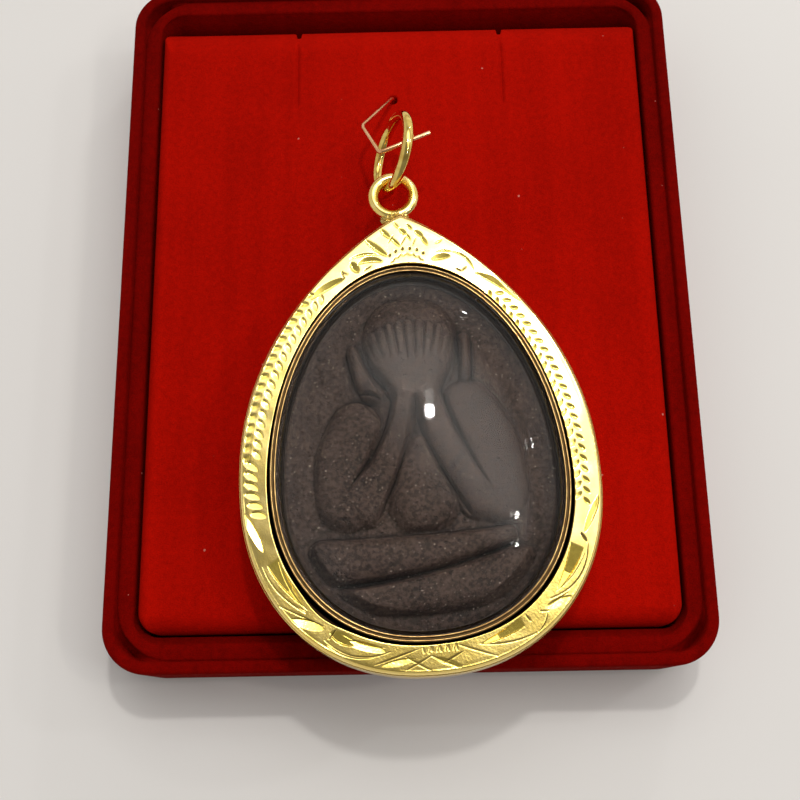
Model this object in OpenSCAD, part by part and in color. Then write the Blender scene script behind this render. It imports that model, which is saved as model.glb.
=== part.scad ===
// Amulet pendant lying on the velvet pad of its display tray, in millimetres.
// The origin is the middle of the tray's underside, +Y runs to the tray's back, where the hook is.

/* [Tray] */
// Outer width of the tray
tray_w = 58.5; // [58:0.5:64]
// Outer length of the tray
tray_l = 74.5; // [73:0.5:80]
// Height of the tray's lip above the surface it stands on
tray_h = 9.8; // [8:0.1:9.9]
// Width of the thin outer lip
lip_w = 1.2; // [0.8:0.1:1.5]
// Width of the lower ledge inside the lip
ledge_w = 1.7; // [1.2:0.1:1.8]
// How far the ledge lies below the lip
ledge_drop = 0.6; // [0.3:0.1:1.5]
// Outer corner radius of the tray
tray_r = 4.5; // [3.5:0.5:6]

/* [Pad] */
// Width of the velvet pad
pad_w = 52; // [50:0.5:52]
// Length of the velvet pad
pad_l = 67; // [64:0.5:67.5]
// Height of the pad's face above the tray's underside
pad_top = 10; // [10:0.5:12]
// Radius of the pad's rolled back edge
roll_r = 5; // [3:0.5:7]
// Length of the two slits in the back edge
slit_l = 12; // [8:0.5:16]
// Distance of each slit from the pad's middle
slit_x = 11.1; // [8:0.1:14]

/* [Case] */
// Turn of the pendant on the pad, in degrees
pendant_turn = 3; // [-6:1:6]
// Half width of the case's face
face_a = 16.18; // [15.6:0.02:16.4]
// Height of the face above the pad
face_z = 8; // [7.8:0.05:8.3]
// How much the side bulges out, as a share of the face's width
bulge = 0.16; // [0:0.02:0.2]
// Half width of the opening in the face
opening_a = 13.82; // [13.8:0.02:14.2]

/* [Bezel and cover] */
// Half width of the bezel that holds the cover
bezel_a = 13.55; // [13.5:0.01:13.6]
// Height of the bezel above the face
bezel_rise = 0.5; // [0.2:0.1:0.8]
// Wall of the bezel
bezel_wall = 0.35; // [0.3:0.05:0.4]
// How far the bezel's edge is folded over the cover
fold = 0.2; // [0.15:0.05:0.3]
// Rise of the clear dome above its rim
dome_h = 3.6; // [3:0.1:5]
// Wall of the clear cover
cover_wall = 0.7; // [0.6:0.1:0.8]

/* [Amulet] */
// Height of the amulet's ground above the pad
ground_z = 5.9; // [5.5:0.1:6]
// How far the ground rises from its edge to its middle
ground_dome = 0.3; // [0.1:0.05:0.4]
// Scale of the relief's rise
relief = 1; // [0.6:0.1:1.1]
// Depth of the grooves between the fingers
finger_cut = 0.4; // [0:0.05:0.6]

/* [Loops and hook] */
// Wire of the soldered loop
loop_wire = 1.1; // [0.9:0.05:1.15]
// Wire of the jump ring
ring_wire = 1.1; // [0.9:0.05:1.15]
// Middle radius of the jump ring
ring_r = 4; // [3.95:0.01:4.1]
// Wire of the hook
hook_wire = 0.44; // [0.3:0.02:0.5]

/* [Hidden] */
$fn = 48;
gap = 0.05;                 // clearance between pieces that sit in each other
floor_t = 1.6;              // the tray's floor
pad_r = 2.2;                // corner radius of the pad
slit_w = 0.5;
tab_r = [0.9, 2];           // corner radii beside a slit: of the middle tab and of an outer one
gold = [0.86, 0.70, 0.28];
velvet = [0.62, 0.05, 0.03];

// Pendant frame: its middle on the pad, and its loop and ring
pendant_at = [1.2, -21.25];
loop_at = [-0.49, 29.91];
loop_r = 2.02;
loop_z = 5.2;
ring_at = [-0.25, 34.55, 5.3];
ring_tilt = -66.5;          // the ring stands almost on edge
ring_yaw = -8.7;
solder_r = 0.72;

// Hook: in the pendant's frame, from inside the pad over its bends to the cut end
hook_bend = 0.6;            // distance from each corner at which the wire starts to bend
hook_hole_d = 0.9;
hook_pts = [[0.35, 44.05, -3.5], [0.35, 44.05, 0.3], [-3.14, 38.2, 5], [-1.58, 33.65, 7.5], [3.59, 35.25, 8]];

// Outlines: N points at even angles. An egg is two half super-ellipses that share their widest line.
// Its row is [half width, depth below the widest line, height above it, height of that line]
N = 72;
LOW = [0.91, 0.92];         // powers of cosine and sine in the lower half
UP = [1.01, 1.03];          // the same in the upper half of a round egg
TIP = [1.70, 0.91];         // the same in the upper half of the case, which comes to a point
face_egg = [face_a, 16.92, 26.02, 0.4];
opening_egg = [opening_a, 14.41, 21.18, 0.29];
bezel_egg = [bezel_a, 14.6, 20.4, 0.65];
function egg_point(egg, phi, up) =
    let (p = sin(phi) < 0 ? LOW : up, h = sin(phi) < 0 ? -egg[1] : egg[2])
    [sign(cos(phi)) * egg[0] * pow(abs(cos(phi)), p[0]), egg[3] + h * pow(abs(sin(phi)), p[1])];
function outline(egg, up) = [for (i = [0:N - 1]) egg_point(egg, 360 * i / N, up)];
function inset(egg, d) = [egg[0] - d, egg[1] - d, egg[2] - d, egg[3]];
function ring(points, z) = [for (p = points) [p.x, p.y, z]];
function blend(a, b, s) = [for (i = [0:N - 1]) a[i] * (1 - s) + b[i] * s];
function around(middle, points, s) = [for (p = points) middle + (p - middle) * s];

face_out = outline(face_egg, TIP);
opening = outline(opening_egg, UP);

// A solid through a list of rings of points. It is capped at both ends, or closed on itself.
module skin(rings, closed = false) {
    rows = len(rings);
    n = len(rings[0]);
    last = closed ? rows - 1 : rows - 2;
    sides = [for (r = [0:last], i = [0:n - 1])
        let (a = r * n, b = ((r + 1) % rows) * n, j = (i + 1) % n)
        each [[a + i, b + j, a + j], [a + i, b + i, b + j]]];
    caps = closed ? [] : [[for (i = [0:n - 1]) i], [for (i = [n - 1:-1:0]) (rows - 1) * n + i]];
    polyhedron([for (r = rings) each r], concat(sides, caps), convexity = 6);
}

// Places its children in the pendant's frame, on the face of the pad
module on_pad() {
    translate([pendant_at.x, pendant_at.y, pad_top]) rotate(pendant_turn) children();
}

module rounded(w, l, r) {
    square([w - 2 * r, l], center = true);
    square([w, l - 2 * r], center = true);
    for (x = [-1, 1], y = [-1, 1]) translate([x * (w / 2 - r), y * (l / 2 - r)]) circle(r);
}

module torus(r, wire) {
    rotate_extrude() translate([r, 0]) circle(d = wire, $fn = 24);
}

function unit(v) = v / norm(v);

// The points around a corner of a wire: a curve that leaves and meets the two legs
function corner(a, b, c) = let (p = b + hook_bend * unit(a - b), q = b + hook_bend * unit(c - b))
    [for (t = [0:0.25:1]) (1 - t) * (1 - t) * p + 2 * t * (1 - t) * b + t * t * q];

// Each ring's sideways direction, carried along the wire so that it never twists
function sideways(along, i, v) = i == len(along) ? []
    : let (u = unit(v - (v * along[i]) * along[i])) concat([u], sideways(along, i + 1, u));

// A round wire along a path of points
module wire(path, d, sides = 10) {
    last = len(path) - 1;
    along = [for (i = [0:last]) unit(path[min(i + 1, last)] - path[max(i - 1, 0)])];
    u = sideways(along, 0, [1, 0, 0]);
    skin([for (i = [0:last]) [for (k = [0:sides - 1])
        let (a = 360 * k / sides) path[i] + d / 2 * (cos(a) * u[i] + sin(a) * cross(along[i], u[i]))]]);
}

// The lip stands above a ledge. The ledge's rounder corners leave a small pit in each corner.
module tray() {
    ledge_r = tray_r + 1;
    color(velvet) {
        difference() {
            linear_extrude(tray_h) rounded(tray_w, tray_l, tray_r);
            translate([0, 0, floor_t])
                linear_extrude(tray_h) rounded(tray_w - 2 * lip_w, tray_l - 2 * lip_w, tray_r - lip_w);
        }
        translate([0, 0, floor_t]) linear_extrude(tray_h - ledge_drop - floor_t) difference() {
            rounded(tray_w - 2 * lip_w, tray_l - 2 * lip_w, ledge_r);
            rounded(tray_w - 2 * (lip_w + ledge_w), tray_l - 2 * (lip_w + ledge_w), pad_r);
        }
    }
}

// What a rounded corner takes off a square one, to the right of the origin
module tab_corner(r) {
    difference() {
        translate([-gap, -r]) square([r + gap, r + 1]);
        translate([r, -r]) circle(r);
    }
}

// A block of foam under flock. Its back edge rolls down, and the slits leave three tabs there.
module pad() {
    block_h = pad_top - floor_t - gap;
    back = pad_l / 2;
    color(velvet) translate([0, 0, floor_t + gap]) difference() {
        intersection() {
            linear_extrude(block_h) rounded(pad_w, pad_l, pad_r);
            union() {
                translate([-pad_w / 2, -back, 0]) cube([pad_w, pad_l - roll_r, block_h]);
                translate([-pad_w / 2, 0, 0]) cube([pad_w, back, block_h - roll_r]);
                translate([-pad_w / 2, back - roll_r, block_h - roll_r])
                    rotate([0, 90, 0]) cylinder(r = roll_r, h = pad_w);
            }
        }
        for (side = [-1, 1]) translate([side * slit_x, back, -1]) linear_extrude(block_h + 2) {
            translate([-slit_w / 2, -slit_l]) square([slit_w, slit_l + 1]);
            for (k = [0, 1]) mirror([side * (2 * k - 1) < 0 ? 1 : 0, 0])
                translate([slit_w / 2, 0]) tab_corner(tab_r[k]);
        }
        translate([0, 0, -floor_t - gap]) on_pad()
            translate(hook_pts[0] - [0, 0, gap]) cylinder(d = hook_hole_d, h = pad_top, $fn = 24);
    }
}

module hook() {
    bends = [for (i = [1:len(hook_pts) - 2]) each corner(hook_pts[i - 1], hook_pts[i], hook_pts[i + 1])];
    color([0.80, 0.60, 0.35]) on_pad()
        wire(concat([hook_pts[0]], bends, [hook_pts[len(hook_pts) - 1]]), hook_wire);
}

module jump_ring() {
    color(gold) on_pad() translate(ring_at) rotate([0, ring_tilt, ring_yaw]) torus(ring_r, ring_wire);
}

// Each row is [place across the face, height as a share of the face's]: 0 is its edge, 1 the opening
module case() {
    back_z = 0.15;
    cavity_z = 1.1;
    side = [[0.85, 0], [0.6, 0.01], [0.25, 0.07], [0.02, 0.18], [-0.75 * bulge, 0.36], [-bulge, 0.57],
            [-0.95 * bulge, 0.77], [-0.7 * bulge, 0.92], [-0.35 * bulge, 0.98], [0.02, 1], [1, 1]];
    color(gold) on_pad() {
        skin(concat(
            [for (row = side) ring(blend(face_out, opening, row[0]), back_z + (face_z - back_z) * row[1])],
            [ring(opening, cavity_z)]));
        translate([loop_at.x, loop_at.y, loop_z]) torus(loop_r, loop_wire);
        for (dx = [-0.7, 0, 0.7])
            translate([loop_at.x + dx, loop_at.y - loop_r - 0.35, loop_z]) sphere(solder_r);
    }
}

// A thin upright rim. Its top edge is folded in over the rim of the cover.
module bezel() {
    foot_z = 1.15;
    soft = 0.15;                // softening of the two top edges
    top_z = face_z + bezel_rise;
    folded = bezel_wall + fold;
    rows = [[0, foot_z], [0, top_z - soft], [soft, top_z], [folded - soft, top_z], [folded, top_z - soft],
            [folded, face_z], [bezel_wall, face_z], [bezel_wall, foot_z]];
    color(gold) on_pad() skin([for (row = rows) ring(outline(inset(bezel_egg, row[0]), UP), row[1])], true);
}

// A clear shell: a flat rim under the bezel's fold, then the dome
module cover() {
    rim_z = face_z - gap;
    foot_z = ground_z + gap;
    rim = bezel_wall + gap;
    middle = [0, 3];
    top_arc = 84;               // degrees up the dome, which ends in a small flat there
    arc = [0:12:top_arc];
    dome = outline(inset(bezel_egg, bezel_wall + fold + 2 * gap), UP);
    inner = outline(inset(bezel_egg, rim + cover_wall), UP);
    inner_z = rim_z - cover_wall;
    color([0.85, 0.9, 0.92, 0.35]) on_pad() skin(concat(
        [for (a = arc) let (up = top_arc - a)
            ring(around(middle, inner, cos(up)), inner_z + dome_h * sin(up))],
        [ring(inner, foot_z)],
        [for (z = [foot_z, rim_z]) ring(outline(inset(bezel_egg, rim), UP), z)],
        [for (a = arc) ring(around(middle, dome, cos(a)), rim_z + gap + dome_h * sin(a))]));
}

// Forms of the seated figure, which holds both hands before its face. Each is a low arch along a bowed
// line: [x, y at its start, x, y that it bends towards, x, y at its end, radius at the start, the
// middle and the end, rise above the ground at the start and the end]
limbs = [
    [-0.2, 14.3, -0.1, 14.6, 0.3, 14.3, 4.4, 4.45, 4.4, 1.9, 1.9],   // head
    [-0.9, 8.9, -1.6, 4.3, -5.0, -1.5, 1.35, 1.65, 2.05, 2.4, 1.8],  // forearm on the left
    [1.1, 8.9, 2.2, 4.2, 5.3, -1.3, 1.45, 1.8, 2.2, 2.35, 1.8],      // forearm on the right
    [-5.6, 6.1, -7.3, 3.0, -6.7, -0.8, 2.5, 2.95, 3.0, 1.65, 1.6],   // upper arm on the left
    [4.9, 7.4, 7.6, 4.2, 6.9, -0.7, 2.7, 2.8, 3.0, 1.7, 1.6],        // upper arm on the right
    [0, 3.8, 0, 1.0, 0.2, -1.0, 1.2, 2.7, 3.5, 1.3, 1.6],            // belly
    [-8.9, -6.3, -0.5, -6.6, 7.6, -4.8, 2.2, 1.9, 0.9, 1.7, 1.5],    // leg that lies above
    [8.4, -8.1, 2.4, -9.6, -7.2, -10.0, 2.4, 2.1, 1.4, 1.55, 1.55],  // leg that lies below
    [-5.5, -12.1, 0, -13.0, 5.5, -12.2, 0.6, 0.9, 0.6, 0.6, 0.6],    // seat
    [-5.3, 13.4, -4.9, 11.2, -3.9, 9.4, 0.75, 0.95, 1.2, 1.1, 1.2],  // side of the neck on the left
    [5.1, 14.0, 5.2, 12.0, 4.9, 10.0, 0.6, 0.55, 0.6, 1.2, 1.1]];    // ear on the right
// Grooves between the forms, along bowed lines too: half widths and depths take the place of radii
// and rises
grooves = [
    [-5.5, 16.2, -4.9, 12.2, -2.25, 9.0, 0.35, 0.55, 0.75, 0.9, 1.2],    // beside the hands, left
    [-2.3, 9.1, -1.9, 5.6, -6.9, -0.2, 0.75, 0.6, 0.3, 1.2, 0.5],        // beside the forearm, left
    [2.75, 9.0, 2.9, 6.2, 6.6, -1.0, 0.45, 0.35, 0.25, 0.8, 0.3],        // beside the forearm, right
    [-10.6, -3.9, -1.0, -4.4, 9.4, -3.7, 0.35, 0.4, 0.35, 0.7, 0.7],     // over the legs
    [-8.8, -8.6, 0.6, -8.4, 8.6, -5.4, 0.45, 0.5, 0.3, 0.9, 0.6],        // between the legs
    [-8.0, -10.9, 0, -12.6, 8.0, -10.9, 0.45, 0.55, 0.45, 0.8, 0.7]];    // under the legs
form_power = 0.6;           // how steeply a form rises at its foot
steps = 6;                  // straight pieces of a bowed line
// The two hands laid side by side: [y, half their width there] from the wrists to the finger tips
hand_half = [[7.4, 1.9], [8.7, 2.4], [11.5, 3.9], [14.2, 4.45], [16.4, 4]];
hand_rise = 2.45;
wrist_y = [7, 8.8];         // the hands rise out of the forearms between these
tip_y = 16.25;              // the middle finger tips
tip_fall = 0.07;            // how fast the others fall away beside them
tip_soft = 0.5;
finger_fan = [0, 2];        // point that the fingers fan out from
finger_step = 4.1;          // degrees between the fingers
finger_y = [12, 13.5];      // the grooves between them deepen between these
cover_clear = 1.25;         // ground left bare inside the foot of the cover

// A value's place between the two ends of a span, held at 0 and 1 outside it
function within(v, span) = min(1, max(0, (v - span[0]) / (span[1] - span[0])));

// A form's line as points: [x, y, radius, rise]
function traced(form) = [for (i = [0:steps])
    let (t = i / steps, p = (1 - t) * (1 - t) * [form[0], form[1]] + 2 * t * (1 - t) * [form[2], form[3]]
         + t * t * [form[4], form[5]])
    [p.x, p.y, lookup(t, [[0, form[6]], [0.5, form[7]], [1, form[8]]]),
     form[9] + t * (form[10] - form[9])]];

// A point's distance from each straight piece of a traced line, as a share of the radius there, and
// the rise there: the nearest of them
function nearest(line, x, y) =
    let (all = [for (i = [0:steps - 1])
             let (a = line[i], b = line[i + 1], dx = b.x - a.x, dy = b.y - a.y,
                  u = within((x - a.x) * dx + (y - a.y) * dy, [0, dx * dx + dy * dy]))
             [norm([x - a.x - u * dx, y - a.y - u * dy]) / (a.z + u * (b.z - a.z)),
              a[3] + u * (b[3] - a[3])]],
         least = min([for (one = all) one[0]]))
    [for (one = all) if (one[0] == least) one][0];

// Height of one form: a low arch across its line, flat on top
function form_rise(line, x, y) =
    let (near = nearest(line, x, y)) near[0] < 1 ? near[1] * pow(1 - pow(near[0], 3), form_power) : 0;

// Depth of one groove: a V across its line
function groove_cut(line, x, y) = let (near = nearest(line, x, y)) near[1] * max(0, 1 - near[0]);

limb_lines = [for (limb = limbs) traced(limb)];
groove_lines = [for (groove = grooves) traced(groove)];

// The hands are flat across, with round sides, and end along the arch of the finger tips
function hands(x, y) =
    let (half = lookup(y, hand_half), tip = tip_y - tip_fall * x * x,
         fan = atan2(x - finger_fan.x, y - finger_fan.y) / finger_step,
         side = sqrt(1 - min(1, pow(abs(x) / half, 4))),
         cut = finger_cut * within(y, finger_y) * (1 - abs(sin(180 * fan + 90))))
    side * sqrt(within(tip - y, [0, tip_soft])) * within(y, wrist_y) * (hand_rise - cut);

// Height of the figure: the highest form, less the grooves
function figure(x, y) =
    let (top = max(hands(x, y), max([for (line = limb_lines) form_rise(line, x, y)])),
         cut = max([for (line = groove_lines) groove_cut(line, x, y)]))
    max(0, top - cut * min(1, top));

// The ground's slight dome, and the relief, which dies away before it reaches the foot of the cover
function rise(x, y, plate, edge) =
    let (dx = x / plate[0], dy = (y - plate[3]) / (y < plate[3] ? plate[1] : plate[2]),
         clear = min(1, max(0, (edge - cover_wall - cover_clear) / 0.8)))
    ground_dome * (1 - dx * dx - dy * dy)
    + relief * clear * figure(x, y);

// A plate under a grid of heights. Its rows are even, and its columns are closer at the middle.
module amulet() {
    plate = inset(bezel_egg, bezel_wall + gap);
    rows = 56;
    cols = 46;
    back_z = 1.2;
    y_low = plate[3] - plate[1];
    y_high = plate[3] + plate[2];
    function row_y(j) = y_low + (y_high - y_low) * (j + 0.25) / (rows + 0.5);
    function half(y) = let (below = y < plate[3], p = below ? LOW : UP,
        s = pow(abs(y - plate[3]) / (below ? plate[1] : plate[2]), 1 / p[1]))
        plate[0] * pow(1 - s * s, p[0] / 2);
    function column(i) = let (t = 2 * i / cols - 1) 0.5 * t + 0.5 * t * t * t;
    top = [for (j = [0:rows], i = [0:cols])
        let (y = row_y(j), x = half(y) * column(i), edge = min(half(y) - abs(x), y - y_low, y_high - y))
        [x, y, ground_z + (i == 0 || i == cols || j == 0 || j == rows ? 0 : rise(x, y, plate, edge))]];
    w = cols + 1;
    border = concat([for (i = [0:cols]) i], [for (j = [1:rows]) j * w + cols],
                    [for (i = [cols - 1:-1:0]) rows * w + i], [for (j = [rows - 1:-1:1]) j * w]);
    b = len(border);
    base = len(top);
    under = concat([for (i = border) [top[i].x, top[i].y, back_z]], [[0, plate[3], back_z]]);
    grid = [for (j = [0:rows - 1], i = [0:cols - 1])
        let (a = j * w + i)
        each [[a, a + w, a + 1], [a + 1, a + w, a + w + 1]]];
    wall = [for (k = [0:b - 1])
        let (n = (k + 1) % b)
        each [[border[k], border[n], base + n], [border[k], base + n, base + k],
              [base + k, base + n, base + b]]];
    color([0.16, 0.12, 0.11]) on_pad()
        polyhedron(concat(top, under), concat(grid, wall), convexity = 6);
}

tray();
pad();
hook();
jump_ring();
case();
bezel();
cover();
amulet();
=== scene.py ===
"""Looks of the amulet pendant on its velvet display tray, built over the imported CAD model.

Shapes are worked out in millimetres, in the CAD's frame or in the pendant's own frame, which lies
on the pad and is turned a little. Each shape is a whole array of points, and make_piece writes it.
"""
import math

import bpy
import numpy as np
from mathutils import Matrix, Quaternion, Vector


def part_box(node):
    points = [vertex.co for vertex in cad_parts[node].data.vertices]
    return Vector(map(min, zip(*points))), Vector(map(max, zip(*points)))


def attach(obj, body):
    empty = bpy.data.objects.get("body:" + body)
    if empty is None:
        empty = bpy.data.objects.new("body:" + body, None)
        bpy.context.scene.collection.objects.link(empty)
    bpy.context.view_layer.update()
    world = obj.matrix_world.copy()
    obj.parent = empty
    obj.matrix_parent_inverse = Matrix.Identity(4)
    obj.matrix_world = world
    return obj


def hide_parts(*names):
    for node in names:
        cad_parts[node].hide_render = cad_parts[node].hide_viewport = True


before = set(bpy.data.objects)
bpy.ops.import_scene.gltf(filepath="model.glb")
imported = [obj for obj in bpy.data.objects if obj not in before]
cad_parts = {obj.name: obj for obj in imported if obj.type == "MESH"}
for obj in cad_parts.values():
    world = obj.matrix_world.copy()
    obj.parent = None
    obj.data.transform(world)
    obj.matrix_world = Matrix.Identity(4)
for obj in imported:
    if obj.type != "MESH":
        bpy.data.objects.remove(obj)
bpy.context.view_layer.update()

MM = 0.001

# Sizes of the real object, as in the CAD
PENDANT_AT = np.array([1.2, -21.25])
PENDANT_TURN = math.radians(3)
FACE_Z = 8.0                  # heights in the pendant's frame count from the pad's face
BACK_Z = 0.15
CAVITY_Z = 1.1
BULGE = 0.16
BEZEL_RISE = 0.5
BEZEL_WALL = 0.35
FOLD = 0.2
DOME_H = 3.6
COVER_WALL = 0.7
GROUND_Z = 5.9
GROUND_DOME = 0.3
GAP = 0.05
LOOP_AT = np.array([-0.49, 29.91, 5.2])
LOOP_R = 2.02
LOOP_WIRE = 1.1
RING_AT = np.array([-0.25, 34.55, 5.3])
RING_R = 4.0
RING_WIRE = 1.1
RING_TILT = math.radians(-66.5)
RING_YAW = math.radians(-8.7)
HOOK_WIRE = 0.44
HOOK_BEND = 0.6
HOOK_PTS = np.array([[0.35, 44.05, -3.5], [0.35, 44.05, 0.3], [-3.14, 38.2, 5.0],
                     [-1.58, 33.65, 7.5], [3.59, 35.25, 8.0]])
HOOK_HOLE_D = 0.9

# An egg is [half width, depth below its widest line, height above it, height of that line]
FACE_EGG = (16.18, 16.92, 26.02, 0.4)
OPENING_EGG = (13.82, 14.41, 21.18, 0.29)
BEZEL_EGG = (13.55, 14.6, 20.4, 0.65)
# Powers of its cosine and its sine below the widest line, above it, and above it where it is pointed
LOW = (0.91, 0.92)
UP = (1.01, 1.03)
TIP = (1.70, 0.91)
MIDDLE = np.array([0.0, 3.0])     # the point that the rings of the cover and the amulet draw in to

TAU = 2 * math.pi
FAR = 9.0                     # more than any distance or share that is looked for
BRIGHT_SIDE = (0.6, 0.8)      # direction, seen from above, of the studio's bright side


def node_box(node):
    """Lowest and highest corner of a CAD node, in millimetres."""
    low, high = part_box(node)
    return np.array(low) / MM, np.array(high) / MM


PAD_TOP = node_box("pad")[1][2]


# Meshes

def grid_faces(rows, cols, close_rows=False, close_cols=False):
    """Quads between points counted row by row: each joins a point, its neighbours along the row and
    the column, and the one across."""
    r = np.arange(rows if close_rows else rows - 1)[:, None]
    c = np.arange(cols if close_cols else cols - 1)[None, :]
    r2, c2 = (r + 1) % rows, (c + 1) % cols
    quads = np.stack([r * cols + c, r * cols + c2, r2 * cols + c2, r2 * cols + c], axis=-1)
    return quads.reshape(-1, 4)


def fan_faces(ring, pole, outward=True):
    """Triangles from a pole to each pair of neighbours on a closed ring."""
    after = np.roll(ring, -1)
    pole = np.full(len(ring), pole)
    return np.stack([ring, after, pole] if outward else [after, ring, pole], axis=-1)


def placed(name, data):
    """An object in the scene that holds a mesh, a light or a camera."""
    holder = bpy.data.objects.new(name, data)
    bpy.context.scene.collection.objects.link(holder)
    return holder


def make_piece(name, points, quads, material, stands_for=(), triangles=()):
    """A smooth mesh from points in millimetres, with its place in the mesh. It rides on the root."""
    mesh = bpy.data.meshes.new(name)
    faces = quads.tolist() + np.asarray(triangles).tolist()
    mesh.from_pydata(np.asarray(points) * MM, [], faces, shade_flat=False)
    mesh.materials.append(material)
    piece = placed(name, mesh)
    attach(piece, "root")
    if stands_for:
        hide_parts(*stands_for)
    return piece


def store(piece, name, values):
    """Keeps one number per vertex in the mesh, for the material to read."""
    layer = piece.data.attributes.new(name, "FLOAT", "POINT")
    layer.data.foreach_set("value", np.asarray(values, float).ravel())


def ring_stack(rings, closed=False):
    """Points and faces of a skin through rings of points, from the lowest ring outward and up. It
    is capped by a fan at each end, or closed on itself."""
    rings = np.asarray(rings)
    rows, cols = rings.shape[:2]
    points = rings.reshape(-1, 3)
    quads = grid_faces(rows, cols, close_rows=closed, close_cols=True)
    if closed:
        return points, quads, ()
    first = np.arange(cols)
    last = first + (rows - 1) * cols
    points = np.concatenate([points, rings[0].mean(axis=0)[None], rings[-1].mean(axis=0)[None]])
    caps = np.concatenate([fan_faces(first, rows * cols, outward=False),
                           fan_faces(last, rows * cols + 1)])
    return points, quads, caps


def even_angles(count):
    """Angles spaced evenly round a full turn."""
    return np.arange(count) * TAU / count


def torus(radius, wire, around, across):
    """Rings of a round wire bent to a circle in the XY plane: the wire's circle of half its thickness,
    swept at the radius."""
    a, b = even_angles(around)[:, None], even_angles(across)[None, :]
    out = radius + wire / 2 * np.cos(b)
    return np.stack([out * np.cos(a), out * np.sin(a), -wire / 2 * np.sin(b) + 0 * a], axis=-1)


def turned(points, axis, angle):
    """Points turned about an axis through the origin."""
    matrix = np.array(Quaternion(axis, angle).to_matrix())
    return np.asarray(points) @ matrix.T


def on_pad(points):
    """From the pendant's frame to the CAD's: a turn about Z, then the pendant's place on the pad."""
    place = np.array([*PENDANT_AT, PAD_TOP])
    return turned(points, (0, 0, 1), PENDANT_TURN) + place


def make_skin(name, rings, material, stands_for=(), closed=False):
    """A piece of the pendant from rings of points in its own frame, capped or closed on itself."""
    points, quads, caps = ring_stack(rings, closed)
    return make_piece(name, on_pad(points), quads, material, stands_for, caps)


# Number fields

def lumps(x, y, size, seed):
    """Smooth random heights from 0 to 1: values on a lattice of that size, joined by smoothsteps."""
    count = 128
    lattice = np.random.default_rng(seed).random((count, count))
    gx, gy = x / size, y / size
    ix, iy = np.floor(gx).astype(int), np.floor(gy).astype(int)
    fx, fy = ramp(gx - ix, 0, 1), ramp(gy - iy, 0, 1)

    def row(j):
        """Values between the lattice's two nearest columns, j rows on."""
        near, far = lattice[ix % count, (iy + j) % count], lattice[(ix + 1) % count, (iy + j) % count]
        return near * (1 - fx) + far * fx

    return row(0) * (1 - fy) + row(1) * fy


def uneven(x, y, size, seed):
    """Lumps from -0.5 to 0.5, on a lattice that starts well outside the piece."""
    return lumps(x + 40, y + 40, size, seed) - 0.5


def ramp(value, start, end):
    """0 up to start, 1 from end on, and a smooth rise between."""
    t = np.clip((value - start) / (end - start), 0, 1)
    return t * t * (3 - 2 * t)


def bowed(t, start, bend, end):
    """Places at shares t of the way along a parabola from start to end that bends towards a point."""
    return (1 - t) ** 2 * start + 2 * t * (1 - t) * bend + t ** 2 * end


def round_edge(distance, radius):
    """How far a face has dropped at a distance from its edge, where a quarter circle rounds it."""
    short = np.clip(radius - distance, 0, radius)
    return radius - np.sqrt(radius ** 2 - short ** 2)


def on_cut(x, y, cut):
    """Each point's share of the way along a cut's bowed line and its distance to the line's left, and
    the line's direction."""
    x0, y0, x1, y1, _, _, bow = cut
    length = math.hypot(x1 - x0, y1 - y0)
    ax, ay = (x1 - x0) / length, (y1 - y0) / length
    t = ((x - x0) * ax + (y - y0) * ay) / length
    off = (y - y0) * ax - (x - x0) * ay - bow * 4 * t * (1 - t)
    return t, off, (ax, ay)


def swell(t, half):
    """Half the width along a cut: it swells from a point to its middle and back as the square root of
    a sine."""
    return half * np.sqrt(np.clip(np.sin(np.pi * np.clip(t, 0, 1)), 1e-6, 1))


def facet_depth(x, y, cut):
    """Depth of a bright cut made with a flat graver: one flat facet that slopes down across the cut to
    a short steep wall. With a positive slope it goes down away from the studio's bright side and looks
    olive, with a negative one it goes down towards it and shines."""
    half, slope = cut[4], cut[5]
    steep = 0.2               # share of the half width that the steep wall takes
    t, off, (ax, ay) = on_cut(x, y, cut)
    side = math.copysign(1, (BRIGHT_SIDE[0] * ay - BRIGHT_SIDE[1] * ax) * slope)
    width = swell(t, half)
    across = off * side / width
    floor = np.clip(np.minimum((across + 1) / (2 - steep), (1 - across) / steep), 0, 1)
    return (2 - steep) * width * abs(slope) * floor * ((t > 0) & (t < 1))


def line_depth(x, y, cut):
    """Depth of a fine scribed line: a V."""
    t, off, _ = on_cut(x, y, cut)
    return cut[5] * np.clip(1 - np.abs(off) / swell(t, cut[4]), 0, 1) * ((t > 0) & (t < 1))


def scoop_depth(x, y, scoop):
    """Depth of a scooped leaf, widest at its flat end: one facet goes down from the flat end to a
    turn, and a second comes up from there to the tip."""
    half, deep = scoop[4], scoop[5]
    turn, steep = 0.6, 0.12   # where it is deepest, and its side wall, as shares of length and width
    t, off, _ = on_cut(x, y, scoop)
    width = half * np.clip(1 - t, 0, 1) ** 0.6 + 1e-6
    inside = np.clip((1 - np.abs(off) / width) / steep, 0, 1)
    return deep * np.clip(np.minimum(t / turn, (1 - t) / (1 - turn)), 0, 1) * inside


# Eggs

def egg(row, phi, up=UP):
    """Points of an egg at angles phi: x = half width * |cos|^m and y = waist + height * |sin|^n, each
    with its own sign. The powers and the height differ above and below the widest line."""
    c, s = np.cos(phi), np.sin(phi)
    above = s >= 0
    m = np.where(above, up[0], LOW[0])
    n = np.where(above, up[1], LOW[1])
    height = np.where(above, row[2], -row[1])
    x = np.sign(c) * row[0] * np.abs(c) ** m
    return np.stack([x, row[3] + height * np.abs(s) ** n], axis=-1)


def inset(row, distance):
    """A smaller egg about the same widest line."""
    return (row[0] - distance, row[1] - distance, row[2] - distance, row[3])


def at_height(outline, z):
    """A flat ring of points at one height, or at a height for each point."""
    return np.concatenate([outline, np.broadcast_to(z, outline.shape[:1])[:, None]], axis=-1)


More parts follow.
